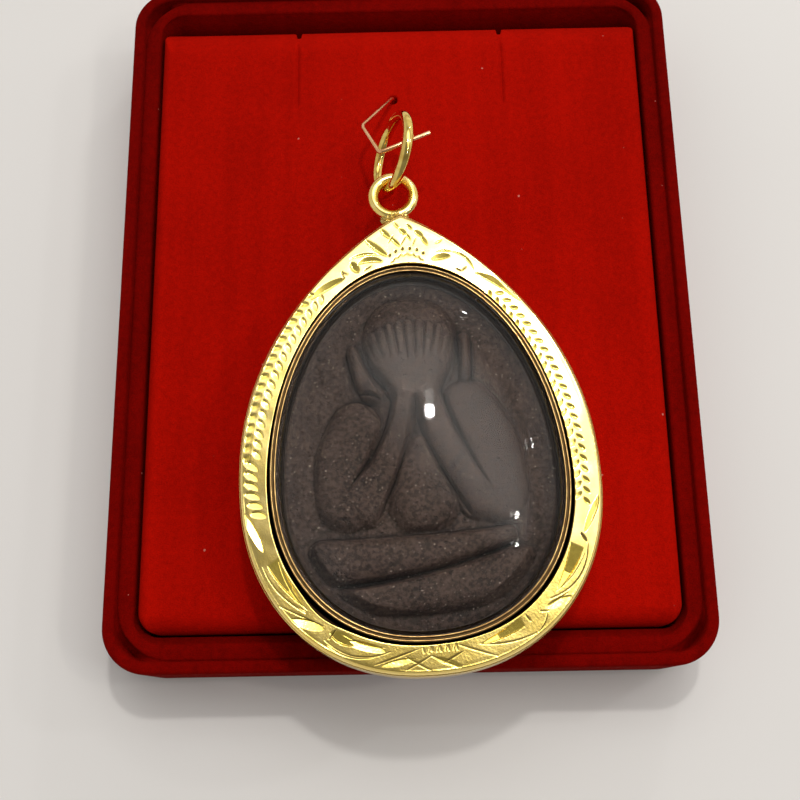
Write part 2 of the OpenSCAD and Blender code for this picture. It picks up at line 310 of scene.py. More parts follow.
def inside_bezel(distance, phi, z):
    """A ring at a height, that far in from the bezel's outer wall."""
    return at_height(egg(inset(BEZEL_EGG, distance), phi), z)


# Shader graphs

class Wire:
    """One output socket in a shader graph. Sums, differences and products add Math nodes."""

    def __init__(self, graph, socket):
        self.graph = graph
        self.socket = socket

    def math(self, operation, a, b):
        """A Math node on two wires or numbers."""
        return self.graph.node("Math", [a, b], operation=operation)

    def __add__(self, other):
        return self.math("ADD", self, other)

    def __sub__(self, other):
        return self.math("SUBTRACT", self, other)

    def __mul__(self, other):
        return self.math("MULTIPLY", self, other)

    def __rsub__(self, other):
        return self.math("SUBTRACT", other, self)

    __radd__ = __add__
    __rmul__ = __mul__

    def between(self, low, high):
        """0 at low and 1 at high, held outside them, with a smooth rise."""
        return self.graph.node("MapRange", {"Value": self, "From Min": low, "From Max": high},
                               interpolation_type="SMOOTHSTEP")


class Graph:
    """A tree of shader nodes."""

    def __init__(self, tree):
        self.tree = tree

    def node(self, kind, values=(), out=0, **settings):
        """Adds a node, sets its settings and then its sockets, by number or name, and returns a wire."""
        node = self.tree.nodes.new("ShaderNode" + kind)
        for setting, value in settings.items():
            setattr(node, setting, value)
        pairs = values.items() if isinstance(values, dict) else enumerate(values)
        for key, value in pairs:
            self.plug(value, node.inputs[key])
        return Wire(self, node.outputs[out])

    def plug(self, value, socket):
        """Links a wire to a socket, or sets the socket to a plain value."""
        if isinstance(value, Wire):
            self.tree.links.new(value.socket, socket)
        else:
            socket.default_value = value


class Paint(Graph):
    """A material and its Principled shader."""

    def __init__(self, name, **settings):
        self.material = bpy.data.materials.new(name)
        self.material.use_nodes = True
        super().__init__(self.material.node_tree)
        self.shader = next(n for n in self.tree.nodes if n.type == "BSDF_PRINCIPLED")
        self.output = next(n for n in self.tree.nodes if n.type == "OUTPUT_MATERIAL")
        self.set(**settings)
        self.place = self.node("TexCoord", out="Object")

    def noise(self, scale, detail=2.0, rough=0.5, stretch=(1, 1, 1)):
        """Noise of about that many grains per metre, stretched along an axis where it is below 1."""
        where = self.place
        if stretch != (1, 1, 1):
            where = self.node("Mapping", {"Vector": where, "Scale": stretch})
        return self.node("TexNoise", {"Vector": where, "Scale": scale, "Detail": detail, "Roughness": rough})

    def stored(self, name):
        """The number that the mesh keeps at each vertex under that name, or 0."""
        return self.node("Attribute", out="Fac", attribute_name=name)

    def blend(self, factor, a, b):
        """A colour between a and b, each a wire or a red, green and blue."""
        a, b = (colour if isinstance(colour, Wire) else (*colour, 1) for colour in (a, b))
        return self.node("Mix", {0: factor, 6: a, 7: b}, out=2, data_type="RGBA")

    def bump(self, height, distance, strength=1.0, over=None):
        """A normal from heights between 0 and 1, with the distance in metres that 1 stands for."""
        values = {"Height": height, "Distance": distance, "Strength": strength}
        if over is not None:
            values["Normal"] = over
        return self.node("Bump", values)

    def set(self, **sockets):
        """Links or sets the shader's own sockets."""
        for name, value in sockets.items():
            self.plug(value, self.shader.inputs[name.replace("_", " ")])
        return self.material


def velvet(name, red, shade):
    """Flock: short upright fibres. Fine grain in colour and height, and broad rubbed patches where
    the pile leans and looks darker."""
    p = Paint(name, Roughness=0.95, Specular_IOR_Level=0.02, Sheen_Weight=0.10, Sheen_Roughness=0.4,
              Sheen_Tint=(1.0, 0.03, 0.005, 1.0))
    grain = p.noise(9000)
    pile = p.noise(1800, 3, 0.6)
    lean = p.noise(60, 3, 0.55, (1, 0.7, 1)).between(0.3, 0.7)
    lines = p.noise(700, 1, 0.4, (1, 0.02, 0.02)).between(0.3, 0.7)
    depth = grain * 0.42 + pile * 0.37 + lean * 0.15 + lines * 0.06
    colour = p.blend(depth.between(0.25, 0.75), shade, red)
    lint = p.noise(1500, 0).between(0.885, 0.9)
    colour = p.blend(lint * 0.7, colour, (0.60, 0.20, 0.16))
    normal = p.bump(grain * 0.6 + pile * 0.4, 0.00016, 0.7)
    return p.set(Base_Color=colour, Normal=normal)


def gold(name, bright, deep, rough, worn=0.3):
    """Polished gold with faint wipe marks, fingered rough patches and fine scratches. Where the mesh asks
    for it, in seams, recesses and down the sides of beads, it is painted dark as shade and made rougher."""
    p = Paint(name, Metallic=1.0)
    painted_shade = p.stored("painted_shade")
    smear = p.noise(350, 3, 0.6).between(0.35, 0.7)
    patch = p.noise(1400).between(0.3, 0.75)
    scratch = p.noise(3500, 2, 0.6, (1, 0.06, 1))
    colour = p.blend(patch * 0.6 + smear * 0.4, deep, bright)
    # Painted shade: nearly black wherever the mesh marks seams, recesses and the sides of beads
    colour = p.blend(painted_shade, colour, (0.035, 0.018, 0.008))
    roughness = rough + smear * (rough * worn) + patch * (rough * worn) + painted_shade * 0.3
    normal = p.bump(scratch * 0.5 + p.noise(2600) * 0.5, 0.000012, 0.6)
    return p.set(Base_Color=colour, Roughness=roughness, Normal=normal)


def engraved_gold(name):
    """The same gold with its engraving: painted olive shade in the bright cuts, painted dark shade in the
    fine lines and dots, and a grain of fine punch marks between them low on the face, where the gold
    is also tinted darker and more olive."""
    p = Paint(name, Metallic=1.0)
    cut = p.stored("cut")
    line = p.stored("line")
    matt = p.stored("matt")
    smear = p.noise(300, 3, 0.6).between(0.35, 0.7)
    fine = p.noise(4200, 2, 0.6)
    grain = p.noise(3800, 2, 0.55).between(0.4, 0.62)
    colour = p.blend(smear * 0.5 + fine * 0.3, (1.0, 0.74, 0.20), (1.0, 0.82, 0.36))
    # Painted shade: the bright cuts tinted olive
    colour = p.blend(cut * 0.75, colour, (0.90, 0.70, 0.12))
    colour = p.blend(matt * 0.35 + matt * grain * 0.2, colour, (0.78, 0.56, 0.09))
    # Painted shade: the fine lines and dots nearly black
    colour = p.blend(line * 0.9, colour, (0.08, 0.05, 0.012))
    roughness = 0.15 + smear * 0.05 + matt * 0.06 + line * 0.2
    normal = p.bump(fine, 0.000004, 0.5)
    normal = p.bump(grain * matt, 0.000005, 0.6, over=normal)
    return p.set(Base_Color=colour, Roughness=roughness, Normal=normal)


def pressed_powder():
    """Dark pressed and lacquered powder: fine dots all over, rubbed a little paler and smoother on its
    high points, painted darker as shade in its hollows, with pits, pale grains and dust."""
    p = Paint("pressed dark powder", Specular_IOR_Level=0.16)
    high = p.stored("high")
    hollow_shade = p.stored("hollow_shade")
    cloud = p.noise(260, 4, 0.6).between(0.3, 0.75)
    dots = p.noise(2600, 2, 0.6).between(0.36, 0.64)
    grain = p.noise(6500, 2, 0.65)
    pits = p.noise(1500, 2, 0.6).between(0.62, 0.72)
    specks = p.noise(5200, 0).between(0.79, 0.83)
    colour = p.blend(cloud * 0.35 + dots * 0.65, (0.011, 0.0058, 0.0045), (0.056, 0.035, 0.026))
    colour = p.blend(high * (0.15 + 0.55 * dots), colour, (0.074, 0.051, 0.038))
    # Painted shade: nearly black in the relief's hollows
    colour = p.blend(hollow_shade, colour, (0.003, 0.0014, 0.001))
    colour = p.blend(pits * 0.7, colour, (0.006, 0.003, 0.0025))
    colour = p.blend(specks * 0.6, colour, (0.34, 0.30, 0.25))
    roughness = 0.60 - high * 0.14 + grain * 0.12
    normal = p.bump(dots * 0.7 + grain * 0.3, 0.00004, 0.8)
    normal = p.bump(1 - pits, 0.00007, 0.8, over=normal)
    return p.set(Base_Color=colour, Roughness=roughness, Normal=normal)


def clear_acrylic():
    """Clear polished acrylic with a few faint wipe marks. Lamps shine through it."""
    p = Paint("clear acrylic", Base_Color=(0.985, 0.985, 0.98, 1), IOR=1.23,
              Transmission_Weight=1.0)
    marks = p.noise(900, 3, 0.6, (1, 0.3, 1)).between(0.55, 0.8)
    p.set(Roughness=0.015 + marks * 0.02)
    lamp = p.node("LightPath", out="Is Shadow Ray")
    through = p.node("BsdfTransparent", {"Color": (0.97, 0.97, 0.96, 1)})
    mix = p.node("MixShader", {0: lamp, 1: Wire(p, p.shader.outputs[0]), 2: through})
    p.plug(mix, p.output.inputs["Surface"])
    return p.material


def pale_floor():
    """A plain pale studio floor."""
    p = Paint("pale floor", Roughness=0.85)
    tone = p.noise(18)
    return p.set(Base_Color=p.blend(tone, (0.70, 0.68, 0.66), (0.74, 0.72, 0.70)))


RED = (0.42, 0.0038, 0.0006)
DARK_RED = (0.255, 0.0022, 0.0003)
# The tray's flock is the pad's red, painted darker as shade
TRAY_SHADED_RED = (0.19, 0.0014, 0.0003)
TRAY_SHADED_DARK = (0.09, 0.0007, 0.0002)


# Tray and pad

def round_rect(width, length, radius, z):
    """A ring round a rectangle with rounded corners, anticlockwise: a quarter circle at each corner
    and a straight run to the next, each split evenly."""
    a = np.linspace(0, math.pi / 2, 20)
    points = []
    for k, (sx, sy) in enumerate([(1, 1), (-1, 1), (-1, -1), (1, -1)]):
        middle = np.array([sx * (width / 2 - radius), sy * (length / 2 - radius)])
        points.append(middle + radius * np.stack([np.cos(a + k * TAU / 4), np.sin(a + k * TAU / 4)], -1))
    t = np.linspace(0, 1, 30)[1:-1, None]
    ring = []
    for corner, after in zip(points, points[1:] + points[:1]):
        ring += [corner, corner[-1] + (after[0] - corner[-1]) * t]
    return at_height(np.concatenate(ring), z)


def tray():
    """The moulded tray: rings of rounded rectangles from the underside, over the lip, down to the
    ledge and on to the floor. A small pit opens at each corner, where the ledge's corner is rounder."""
    low, high = node_box("tray")
    w, l, top = high[0] - low[0], high[1] - low[1], high[2]
    lip, ledge, drop, radius, floor = 1.2, 1.7, 0.6, 4.5, 1.6
    ledge_top, ledge_r, inner_r = top - drop, radius + 1, 2.6
    inside = lip + ledge
    slope = 0.6               # how far the wall leans in under the ledge, at the front and the back
    soft = 0.35               # radius of the edges
    pit_deep, pit_start, pit_end = 3.5, lip + 1.2, lip + 3.2

    def band(inward, z, r=None, ends=0):
        """A ring that far inside the outline, and further in at the front and the back by ends."""
        r = radius - inward if r is None else r
        return round_rect(w - 2 * inward, l - 2 * (inward + ends), r, z)

    def pitted(inward, z, r):
        """The same, but it dips near the outline's corners."""
        ring = band(inward, z, r)
        across = np.hypot(w / 2 - np.abs(ring[:, 0]), l / 2 - np.abs(ring[:, 1]))
        ring[:, 2] -= pit_deep * (1 - ramp(across, pit_start, pit_end))
        return ring

    arc = [(soft * math.cos(a), soft * math.sin(a)) for a in np.radians([0, 22.5, 45, 67.5, 90])]
    rows = [band(soft, 0), band(0.1, 0.08), band(0, soft), band(0, 0.35 * top), band(0, 0.7 * top)]
    rows += [band(soft - c, top - soft + s) for c, s in arc]
    rows += [band(lip - soft + s, top - soft + c) for c, s in arc]
    rows += [pitted(lip, ledge_top - 0.05, radius - lip), pitted(lip + 0.03, ledge_top - 0.1, ledge_r)]
    rows += [band(lip + 0.05, ledge_top - 0.05, ledge_r), band(lip + 0.3, ledge_top, ledge_r - 0.4)]
    rows += [band(inside - soft + s, ledge_top - soft + c, inner_r + 1.2 * (1 - s / soft)) for c, s in arc]
    rows += [band(inside, ledge_top - soft - 0.9 * slope, inner_r - 0.2, slope)]
    rows += [band(inside, floor + 0.3, inner_r - 0.4, slope)]
    rows += [band(inside + 0.15, floor, inner_r - 0.6, slope)]
    points, quads, caps = ring_stack(rows)
    make_piece("tray_flocked", points, quads, velvet("tray flock", TRAY_SHADED_RED, TRAY_SHADED_DARK),
               ["tray"], caps)


def lines_through(low, high, spacing, fine):
    """Grid lines from low to high: evenly spaced, with extra ones round each (place, reach, step)."""
    least = 0.03              # lines nearer each other than this are dropped
    lines = [np.linspace(low, high, int((high - low) / spacing) + 1)]
    for place, reach, step in fine:
        lines.append(np.arange(place - reach, place + reach + step / 2, step))
    lines = np.unique(np.round(np.concatenate(lines), 3))
    lines = lines[(lines >= low) & (lines <= high)]
    keep = np.concatenate([[True], np.diff(lines) > least])
    keep[-1] = True
    return lines[keep]


# Radii of the pad's side, front and rolled back edges and of its corners, and the depth of its holes
PAD_EDGE_R, PAD_FRONT_R, PAD_ROLL_R, PAD_CORNER_R, PAD_DEEP = 1.3, 2.0, 5.0, 2.2, 6.5
# The slits' places, half width and length, and the radii of their notches' outer and inner corners
SLIT_X, SLIT_HALF, SLIT_L, NOTCH_OUT_R, NOTCH_IN_R = 11.1, 0.2, 12.0, 2.0, 0.9


def pad_grid(w, l, hole):
    """A grid over the pad's rounded outline, finer at its edges, its slits and the hook's hole. Its
    outer columns are drawn in where the corners round. Gives x, y and the distance to the side."""
    fine_x = [(hole[0], 0.8, 0.09)]
    for s in (-1, 1):
        fine_x += [(s * w / 2, 2, 0.12), (s * SLIT_X, 0.9, 0.07), (s * (SLIT_X + 1.2), 1.4, 0.11)]
    fine_y = [(-l / 2, 2, 0.12), (l / 2, 2.6, 0.1), (l / 2 - 4, 1.6, 0.25), (l / 2 - SLIT_L, 0.8, 0.1),
              (hole[1], 0.8, 0.09)]
    xs = lines_through(-w / 2, w / 2, 0.55, fine_x)
    ys = lines_through(-l / 2, l / 2, 0.55, fine_y)
    y = ys[:, None] + 0 * xs[None, :]
    x = np.broadcast_to(xs, y.shape)
    short = np.clip(np.abs(y) - (l / 2 - PAD_CORNER_R), 0, PAD_CORNER_R)
    half = w / 2 - PAD_CORNER_R + np.sqrt(PAD_CORNER_R ** 2 - short ** 2)
    fixed = 18.0              # columns nearer the middle than this stay straight
    drawn = fixed + (np.abs(x) - fixed) * (half - fixed) / (w / 2 - fixed)
    x = np.where(np.abs(x) < fixed, x, np.sign(x) * drawn)
    return x, y, half - np.abs(x)


def slit_drop(x, y, back, s):
    """How far the pad's face drops at one slit: a crease where it is shut, and a notch with rounded
    corners where it opens at the back edge."""
    crease_deep, crease_half, notch_edge_r = 0.28, 0.4, 0.5
    beside = s * (x - s * SLIT_X)
    across = np.abs(beside) - SLIT_HALF
    radius = np.where(beside > 0, NOTCH_OUT_R, NOTCH_IN_R)
    past = np.hypot(np.clip(radius - across, 0, None), np.clip(y - back + radius, 0, None))
    beyond = (across > radius) | (y < back - radius)
    gap_at = np.minimum(np.clip(across, 0, None), np.clip(radius - past, 0, None) + FAR * beyond)
    notch = np.where(gap_at < 0.02, PAD_DEEP, round_edge(gap_at, notch_edge_r))
    crease = crease_deep * np.clip(1 - np.abs(beside) / crease_half, 0, 1) ** 1.5
    crease = crease * ramp(y, back - SLIT_L, back - SLIT_L + 1.5)
    opens = ramp(y, back - 2.6, back - 1.6)
    return notch * opens + crease * (1 - opens)


def pad():
    """The foam pad: a grid of heights with a rounded rectangle for its outline. Its edges drop round
    quarter circles, widest at the back, where it rolls down. The slits are shut to a crease and open
    to notches at the back. The notches and the hook's hole drop almost to its base, and its flock
    lies a little uneven."""
    low, high = node_box("pad")
    w, l, top, base = high[0] - low[0], high[1] - low[1], high[2], low[2]
    back = l / 2
    hole = on_pad(HOOK_PTS[0][None])[0]
    x, y, side = pad_grid(w, l, hole)
    drop = np.maximum(round_edge(side, PAD_EDGE_R), round_edge(y + back, PAD_FRONT_R))
    drop = np.maximum(drop, round_edge(back - y, PAD_ROLL_R))
    for s in (-1, 1):
        drop = np.maximum(drop, slit_drop(x, y, back, s))
    hook_gap = np.hypot(x - hole[0], y - hole[1]) - HOOK_HOLE_D / 2
    drop = np.maximum(drop, round_edge(np.clip(hook_gap, 0, None), 0.25))
    drop = np.where(hook_gap < 0, PAD_DEEP, drop)
    sag = 0.12 * lumps(x + 40, y + 40, 9, 3) * ramp(side, 0, 3) * ramp(y + back, 0, 3)
    z = top - drop - sag

    rows, cols = y.shape
    points = np.stack([x, y, z], axis=-1).reshape(-1, 3)
    index = np.arange(rows * cols).reshape(rows, cols)
    rim = np.concatenate([index[0], index[1:, -1], index[-1, -2::-1], index[-2:0:-1, 0]])
    foot = points[rim] * [1, 1, 0] + [0, 0, base]
    n = len(points)
    skirt = np.arange(len(rim)) + n
    walls = np.stack([rim, skirt, np.roll(skirt, -1), np.roll(rim, -1)], axis=-1)
    points = np.concatenate([points, foot, [[0, 0, base]]])
    quads = np.concatenate([grid_faces(rows, cols), walls])
    caps = fan_faces(skirt, n + len(rim), outward=False)
    piece = make_piece("pad_flocked", points, quads, velvet("pad flock", RED, DARK_RED),
                       ["pad"], caps)


# Hook, loop and jump ring

def bent_wire(corners, bend):
    """A path through corners: straight runs, and at each corner a parabola that starts and ends the
    same distance from it."""
    path = [corners[0]]
    t = np.linspace(0, 1, 9)[:, None]
    for a, b, c in zip(corners[:-2], corners[1:-1], corners[2:]):
        p = b + bend * (a - b) / np.linalg.norm(a - b)
        q = b + bend * (c - b) / np.linalg.norm(c - b)
        path += list(bowed(t, p, b, q))
    path.append(corners[-1])
    return np.array(path)


def round_wire(path, radius, sides, hint):
    """Rings of a round wire: a circle across the path at each point, with its own radius, turned to
    the part of hint that lies square to the path."""
    along = np.gradient(path, axis=0)
    along /= np.linalg.norm(along, axis=1)[:, None]
    u = hint - (along @ hint)[:, None] * along
    u /= np.linalg.norm(u, axis=1)[:, None]
    v = np.cross(along, u)
    a = even_angles(sides)[None, :, None]
    return path[:, None, :] + radius[:, None, None] * (np.cos(a) * u[:, None, :] + np.sin(a) * v[:, None, :])


def hook():
    """The display's bent wire: up out of its hole, over its bends and through the ring to a cut end,
    which narrows over the last few hundredths of a millimetre."""
    path = bent_wire(HOOK_PTS, HOOK_BEND)
    end = path[-1] - path[-2]
    end /= np.linalg.norm(end)
    before_end = np.array([[0.06], [0.025], [0.0]])
    path = np.concatenate([path[:-1], path[-1] - end * before_end])
    radius = np.full(len(path), HOOK_WIRE / 2)
    radius[-2:] *= [0.93, 0.7]
    rings = round_wire(path, radius, 20, np.array([0.35, -0.5, 0.8]))
    wire = gold("bright wire", (1.0, 0.62, 0.34), (0.80, 0.42, 0.19), 0.15)
    make_skin("hook_wire", rings, wire, ["hook"])


def jump_ring():
    """The polished ring, standing almost on edge through the loop."""
    leaning = turned(torus(RING_R, RING_WIRE, 240, 40), (0, 1, 0), RING_TILT)
    rings = turned(leaning, (0, 0, 1), RING_YAW) + RING_AT
    shine = gold("ring gold", (1.0, 0.78, 0.24), (0.70, 0.44, 0.09), 0.07)
    make_skin("jump_ring_polished", rings, shine, ["jump_ring"], closed=True)


def loop(metal):
    """The loop soldered behind the case's tip, and the grainy lump of solder at its foot: a ball whose
    radius swells and shrinks with small lumps."""
    make_skin("loop_soldered", torus(LOOP_R, LOOP_WIRE, 200, 36) + LOOP_AT, metal, closed=True)
    rise = np.linspace(-math.pi / 2, math.pi / 2, 60)[1:-1, None]
    turn = even_angles(140)[None, :]
    u, v = turn * 5.1 + 9, rise * 6 + 9
    grain = lumps(u, v, 0.42, 21) - lumps(u, v, 1.1, 22)
    join = ramp(np.minimum(turn, TAU - turn), 0, 0.3)     # no grain where the turn starts and ends
    radius = 1 + 0.24 * grain * join
    foot = LOOP_AT - [0, LOOP_R + 0.35, 0]
    shape = np.array([1.35, 0.72, 0.70])
    ball = np.stack([np.cos(rise) * np.cos(turn), np.cos(rise) * np.sin(turn), np.sin(rise) + 0 * turn], -1)
    piece = make_skin("loop_solder", foot + shape * ball * radius[..., None], metal)
    # The solder lump is painted a little dark as shade at the loop's foot, and made a little rougher
    store(piece, "painted_shade", np.full(len(piece.data.vertices), 0.3))


# The case

DENT = (229.5, 9, 0.3)        # where the opening's edge is bent outward: angle, spread, depth

ARCH = (0.3, 20.55)           # middle of the arch of dots under the tip

# Bright cuts: [x, y at the start, x, y at the end, half width, slope of the facet, bow to the left],
# in a fan, then the scrolls on the left and the right, then the lower ones
BRIGHT_CUTS = [
    (-3.6, 24.33, -1.48, 22.38, 0.33, 0.17, 0), (-2.06, 25.36, -1.1, 24.2, 0.27, 0.17, 0),
    (-1.12, 24.36, -0.18, 23.27, 0.2, 0.17, 0), (-0.72, 25.95, -0.22, 25.2, 0.19, 0.17, 0),
    (-0.2, 25.22, 0.46, 24.53, 0.26, 0.17, 0), (0.55, 25.63, 1.06, 24.98, 0.18, 0.17, 0),
    (0.46, 24.6, 0.84, 23.85, 0.16, 0.17, 0), (1.28, 24.93, 2.04, 24.17, 0.26, 0.17, 0),
    (1.82, 24.36, 2.44, 23.23, 0.23, 0.17, 0), (3.1, 23.4, 3.84, 23.8, 0.14, 0.26, 0),
    (-5.17, 22.31, -2.2, 22.54, 0.16, 0.26, 0.3), (-5.03, 22.02, -4.33, 20.88, 0.4, 0.17, 0),
    (-4.4, 21.8, -2.02, 21.88, 0.33, 0.22, 0.35), (-9.12, 18.52, -5.7, 20.45, 0.37, 0.28, 0.2),
    (2.62, 21.8, 4.5, 22.05, 0.33, 0.22, 0.1), (3.1, 22.56, 4.74, 22.48, 0.14, 0.24, 0.08),
    (4.5, 22.53, 6.63, 20.34, 0.16, 0.2, 0.48), (6.69, 20.13, 10.85, 16.8, 0.38, 0.165, 0.38),
    (16, -2, 14.2, -5.32, 0.32, -0.3, 0), (10.05, -11.77, 12.52, -10.93, 0.38, -0.1, 0),
    (-12.19, -11.22, -9.33, -12.2, 0.44, -0.23, 0), (-16, -1.6, -14.4, -5.1, 0.38, -0.2, 0),
    (-8.8, -12.5, -6.7, -13.7, 0.55, 0.16, 0), (-7.6, -13.4, -4.1, -14.5, 0.38, -0.23, 0),
    (0.1, -15.3, 2.4, -16.25, 0.26, -0.12, 0), (-4.6, -15.75, -1.6, -15.3, 0.3, -0.14, 0)]

# Scooped leaves, from flat end to tip: the same values, but a depth in place of the slope
SCOOPS = [
    (13.43, -6.4, 11.3, -10.2, 0.66, 0.32, 0.2), (8, -12.76, 4.2, -14.42, 0.46, 0.28, 0.15),
    (-13.6, -6, -11, -10.1, 0.64, 0.36, -0.2)]

# Scribed lines by their half width and depth: [x, y at the start, x, y at the end, bow to the left]
LINES = {
    (0.08, 0.05): [
        (0.41, 24.36, -0.17, 23.46, 0), (10.23, -11.6, 12.17, -10.55, 0),
        (-9.18, -13.5, -5.21, -14.94, -0.5)],
    (0.07, 0.05): [
        (-0.8, 24.52, -1.34, 23.78, 0), (1.3, 24.1, 0.95, 23.3, 0),
        (14.04, -7.16, 11.16, -10.36, 0.3), (10.5, -10.99, 11.2, -10.73, 0), (9.48, -12, 10.43, -11.99, 0),
        (-13.75, -8, -10.86, -10.74, -0.2), (-13.05, -6.07, -10.75, -10.45, -0.35),
        (-7.83, -12.74, -4.15, -14.17, -0.2)],
    (0.08, 0.06): [
        (-6.06, 21.02, -5.36, 20.71, 0), (-5.97, 21.18, -5.82, 20.4, 0),
        (10.17, -12.17, 9.2, -13.75, 0.2), (9.2, -13.75, 4.05, -14.37, 0.35),
        (2.18, -14.31, 5.59, -15.54, 0), (-13.35, -9.87, -9.24, -12, 0),
        (-14.5, -6.4, -10.85, -10.56, -0.55), (-9.44, -13.05, -3.67, -14.52, -0.95)],
    (0.09, 0.06): [
        (-3.83, 21.08, -3.08, 21.49, 0), (-5.25, -15.6, -1.28, -14.47, 0),
        (-2.65, -16.3, -0.2, -15.1, 0), (-2.4, -15.05, -0.1, -16.5, 0)],
    (0.1, 0.07): [
        (4.91, 20.67, 5.41, 20.39, 0), (5.41, 20.39, 5.99, 20.8, 0),
        (8.26, -12.2, 8.7, -12.8, 0), (-8.31, -12.28, -9.01, -13.15, 0)],
    (0.16, 0.1): [
        (13.87, -5.38, 14.34, -6.18, 0)],
    (0.09, 0.07): [
        (14.41, -6.3, 10.62, -10.95, 1)],
    (0.1, 0.06): [(-0.2, -15.1, 2.6, -16.4, 0), (0.75, -15.8, 2.6, -14.9, 0)]}


def scribed_lines():
    """The scribed lines, and the fine zigzag over the crossed ones at the bottom."""
    cuts = [(*line[:4], *size, line[4]) for size, lines in LINES.items() for line in lines]
    for k in range(9):
        x, y, step = -0.75 + 0.36 * k, -14.95 + 0.02 * k, 0.2 if k % 2 else -0.12
        cuts.append((x, y, x + step, y + 0.63, 0.08, 0.05, 0))
    return cuts


def band_places(start, end, share, pitch):
    """Places spaced evenly along a line on the face, given by the angles of its ends and its share of
    the way from the outer edge to the opening at each angle. Gives the places, and the directions
    along the line and outward."""
    phi = np.radians(np.linspace(start, end, 400))
    across = share(np.degrees(phi))[:, None]
    line = egg(FACE_EGG, phi, TIP) * (1 - across) + egg(OPENING_EGG, phi) * across
    run = np.concatenate([[0], np.cumsum(np.linalg.norm(np.diff(line, axis=0), axis=1))])
    at = np.arange(pitch / 2, run[-1], pitch)
    places = np.stack([np.interp(at, run, line[:, k]) for k in (0, 1)], axis=-1)
    along = np.stack([np.interp(at, run, np.gradient(line[:, k])) for k in (0, 1)], axis=-1)
    along /= np.linalg.norm(along, axis=1)[:, None]
    out = np.stack([along[:, 1], -along[:, 0]], axis=-1)
    out *= np.sign((out * places).sum(axis=1))[:, None]
    return places, along, out


def wheat_cuts():
    """The two wheat-ear bands, from the crescents down: at each place a pair of lens cuts in a V that
    points to the tip. Low on the left they turn into single wide lenses."""
    cuts = []

    def ears(start, end, share, half_band, pitch, lens, slope):
        """Adds one band's pairs of cuts."""
        for place, along, out in zip(*band_places(start, end, share, pitch)):
            for side in (-1, 1):
                near = place + side * (0.25 * pitch * along + 0.08 * half_band * out)
                far = near + side * 0.92 * half_band * out + 0.62 * along
                cuts.append((*near, *far, lens, slope, 0))

    ears(129, 173, lambda a: 0.36 + 0.10 * np.exp(-((a - 128) / 3) ** 2), 0.84, 0.98, 0.30, -0.17)
    ears(53, -8, lambda a: np.full_like(a, 0.70), 0.70, 0.98, 0.22, 0.20)
    wide = band_places(174, 189, lambda a: 0.38 + 0.25 * ramp(a, 178, 189), 0.92)
    for place, along, out in zip(*wide):
        near, far = place + 0.72 * out - 0.30 * along, place - 0.62 * out + 0.40 * along
        cuts.append((*near, *far, 0.34, -0.18, 0.08))
    return cuts


def arch_depth(x, y):
    """Depth of the arch under the tip: six round dots, and a fine scalloped line inside them."""
    dots_r, dot_r, dot_deep = 2.5, 0.14, 0.08
    line_r, line_half, line_deep = 1.82, 0.08, 0.05
    scallop, scallop_turn = 0.13, 9
    dx, dy = x - ARCH[0], y - ARCH[1]
    depth = np.zeros_like(x)
    for angle in range(130, 34, -16):
        a = math.radians(angle)
        d = np.hypot(dx - dots_r * math.cos(a), dy - dots_r * math.sin(a))
        depth = np.maximum(depth, dot_deep * np.sqrt(np.clip(1 - (d / dot_r) ** 2, 0, 1)))
    around = np.degrees(np.arctan2(dy, dx))
    off = np.abs(np.hypot(dx, dy) - line_r - scallop * np.abs((around / scallop_turn) % 2 - 1))
    fine = line_deep * np.clip(1 - off / line_half, 0, 1)
    return np.maximum(depth, fine * ramp(around, 34, 38) * ramp(-around, -146, -142))


def engraving(x, y):
    """Depth of the engraving at each point, the deepest cut there and the deepest line added, with how
    far the point is in a bright cut and in a fine line or dot."""
    depth = np.zeros_like(x)
    for cut in BRIGHT_CUTS + wheat_cuts():
        depth = np.maximum(depth, facet_depth(x, y, cut))
    for scoop in SCOOPS:
        depth = np.maximum(depth, scoop_depth(x, y, scoop))
    line = arch_depth(x, y)
    for scribed in scribed_lines():
        line = np.maximum(line, line_depth(x, y, scribed))
    return depth + line, np.clip(depth / 0.02, 0, 1), np.clip(line / 0.03, 0, 1)


